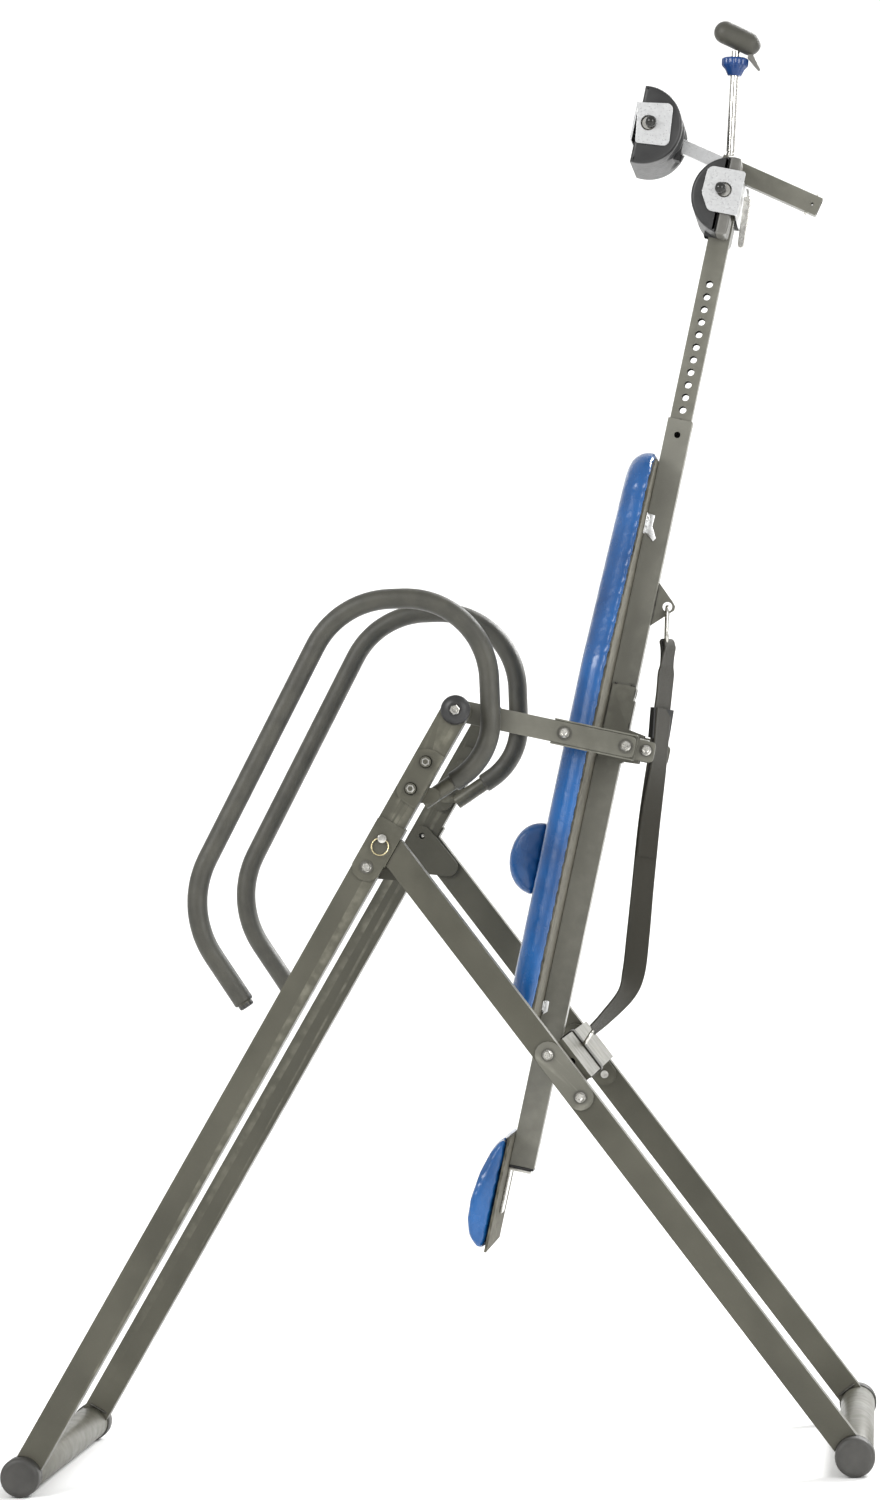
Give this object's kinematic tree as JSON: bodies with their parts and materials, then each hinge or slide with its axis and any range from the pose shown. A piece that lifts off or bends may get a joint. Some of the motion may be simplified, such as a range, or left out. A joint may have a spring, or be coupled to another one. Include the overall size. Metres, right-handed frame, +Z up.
{
  "type": "inversion table",
  "caption": "Folding inversion table: a tube A-frame carries a tilting padded bed with a sliding ankle clamp, hand bars and a tether strap.",
  "frame": {"origin": "on the floor, midway between the front and rear floor tubes and midway between the two sides", "axes": "+X to the front, the side the user mounts from; +Y across the frame; +Z up. The rest pose is full inversion."},
  "size_m": [1.222, 0.646, 2.0693],
  "materials": {
    "frame_paint": "satin charcoal powder coat",
    "bed_paint": "satin charcoal powder coat",
    "bright_zinc": "bright zinc plate",
    "silver_plate": "satin silver",
    "grip_foam": "matt foam",
    "foot_rubber": "matt rubber",
    "moulding": "fine moulded texture",
    "blue_vinyl": "semi-gloss upholstery vinyl",
    "board": "painted backing board",
    "webbing": "woven webbing",
    "blue_gloss": "gloss blue"
  },
  "bodies": {
    "rear_frame": {"rear_floor_tube": "frame_paint", "rear_leg_near": "frame_paint", "rear_foot_cap_near": "foot_rubber", "handlebar_near": "frame_paint", "hand_grip_near": "grip_foam", "handle_clamp_near": "frame_paint", "hinge_bracket_near": "frame_paint", "hinge_bolt_near": "bright_zinc", "rear_leg_far": "frame_paint", "rear_foot_cap_far": "foot_rubber", "handlebar_far": "frame_paint", "hand_grip_far": "grip_foam", "handle_clamp_far": "frame_paint", "hinge_bracket_far": "frame_paint", "hinge_bolt_far": "bright_zinc"},
    "front_frame": {"front_floor_tube": "frame_paint", "cross_bar": "frame_paint", "tether_strap": "webbing", "front_leg_near": "frame_paint", "front_foot_cap_near": "foot_rubber", "splice_plate_near": "frame_paint", "splice_bolts_near": "bright_zinc", "front_leg_far": "frame_paint", "front_foot_cap_far": "foot_rubber", "splice_plate_far": "frame_paint", "splice_bolts_far": "bright_zinc"},
    "lock_pin_near": {"lock_pin_near": "bright_zinc"},
    "lock_pin_far": {"lock_pin_far": "bright_zinc"},
    "pivot_pins": {"pivot_pin_near": "moulding", "pivot_pin_far": "moulding"},
    "bed": {"pivot_arm_near": "bed_paint", "arm_channel_near": "bed_paint", "pivot_arm_far": "bed_paint", "arm_channel_far": "bed_paint", "cross_beam": "bed_paint", "boom_tube": "bed_paint", "boom_end_cap": "moulding", "back_board": "board", "main_cushion": "blue_vinyl", "lumbar_pad": "blue_vinyl", "head_bracket": "bright_zinc", "head_board": "board", "head_pillow": "blue_vinyl", "tether_gusset": "bed_paint", "strap_buckle": "moulding"},
    "hook": {"tether_hook": "bright_zinc"},
    "hook_gate": {"tether_hook_gate": "bright_zinc"},
    "height_pin": {"height_pin": "moulding"},
    "foot_tube": {"adjust_tube": "bed_paint", "carrier_tube": "bed_paint", "rear_cup_bracket": "silver_plate", "rear_cup_pin": "moulding"},
    "rear_cup": {"rear_ankle_cup": "moulding"},
    "ankle_slide": {"slide_bar": "silver_plate", "front_cup_pin": "moulding"},
    "front_cup": {"front_ankle_cup": "moulding"},
    "lock_lever": {"ankle_lock_lever": "bright_zinc"},
    "pull_handle": {"handle_rod": "bright_zinc", "handle_grip": "grip_foam"},
    "collar": {"handle_collar": "blue_gloss"}
  },
  "joints": [
    {"name": "frame_fold", "type": "hinge", "parent": "rear_frame", "child": "front_frame", "pos_m": [-0.06468, 0, 0.8648], "axis": [0, 1, 0], "range_deg": [0, 60]},
    {"name": "bed_carry", "type": "hinge", "parent": "rear_frame", "child": "pivot_pins", "pos_m": [0.068, 0, 1.079], "axis": [0, 1, 0], "range_deg": [0, 42]},
    {"name": "bed_tilt", "type": "hinge", "parent": "pivot_pins", "child": "bed", "pos_m": [0.068, 0, 1.079], "axis": [0, 1, 0], "range_deg": [0, 121], "deforming": ["tether_strap"]},
    {"name": "lock_pin_near_pull", "type": "slide", "parent": "rear_frame", "child": "lock_pin_near", "axis": [0, -1, 0], "range_m": [0, 0.032]},
    {"name": "lock_pin_far_pull", "type": "slide", "parent": "rear_frame", "child": "lock_pin_far", "axis": [0, 1, 0], "range_m": [0, 0.032]},
    {"name": "height_slide", "type": "slide", "parent": "bed", "child": "foot_tube", "axis": [0.2446, 0, 0.9696], "range_m": [-0.186, 0.0744]},
    {"name": "height_pin_pull", "type": "slide", "parent": "bed", "child": "height_pin", "axis": [0, 1, 0], "range_m": [0, 0.012]},
    {"name": "ankle_slide", "type": "slide", "parent": "foot_tube", "child": "ankle_slide", "axis": [0.8921, 0, -0.4518], "range_m": [-0.06, 0.012]},
    {"name": "rear_cup_tilt", "type": "hinge", "parent": "foot_tube", "child": "rear_cup", "pos_m": [0.45777, 0, 1.8145], "axis": [0, 1, 0], "range_deg": [-4, 4]},
    {"name": "front_cup_tilt", "type": "hinge", "parent": "ankle_slide", "child": "front_cup", "pos_m": [0.3623, 0, 1.91439], "axis": [0, 1, 0], "range_deg": [-6, 6]},
    {"name": "lock_lever_swing", "type": "hinge", "parent": "foot_tube", "child": "lock_lever", "pos_m": [0.49305, 0, 1.80921], "axis": [0, 1, 0], "range_deg": [-30, 0]},
    {"name": "handle_pull", "type": "slide", "parent": "foot_tube", "child": "pull_handle", "axis": [0.0901, 0, 0.9959], "range_m": [0, 0.02]},
    {"name": "collar_twist", "type": "hinge", "parent": "pull_handle", "child": "collar", "pos_m": [0.47063, 0, 1.87365], "axis": [0.0901, 0, 0.9959], "range_deg": [-90, 90]},
    {"name": "hook_swing", "type": "hinge", "parent": "bed", "child": "hook", "pos_m": [0.35499, 0, 1.22317], "axis": [0, 1, 0], "range_deg": [-8, 8]},
    {"name": "hook_gate_open", "type": "hinge", "parent": "hook", "child": "hook_gate", "pos_m": [0.3525, 0.011, 1.18526], "axis": [0.9979, 0, -0.0654], "range_deg": [0, 14], "stiffness_Nm_per_rad": 0.02}
  ],
  "couplings": [
    {"joint": "bed_carry", "follows": "frame_fold", "ratio": 0.7}
  ]
}
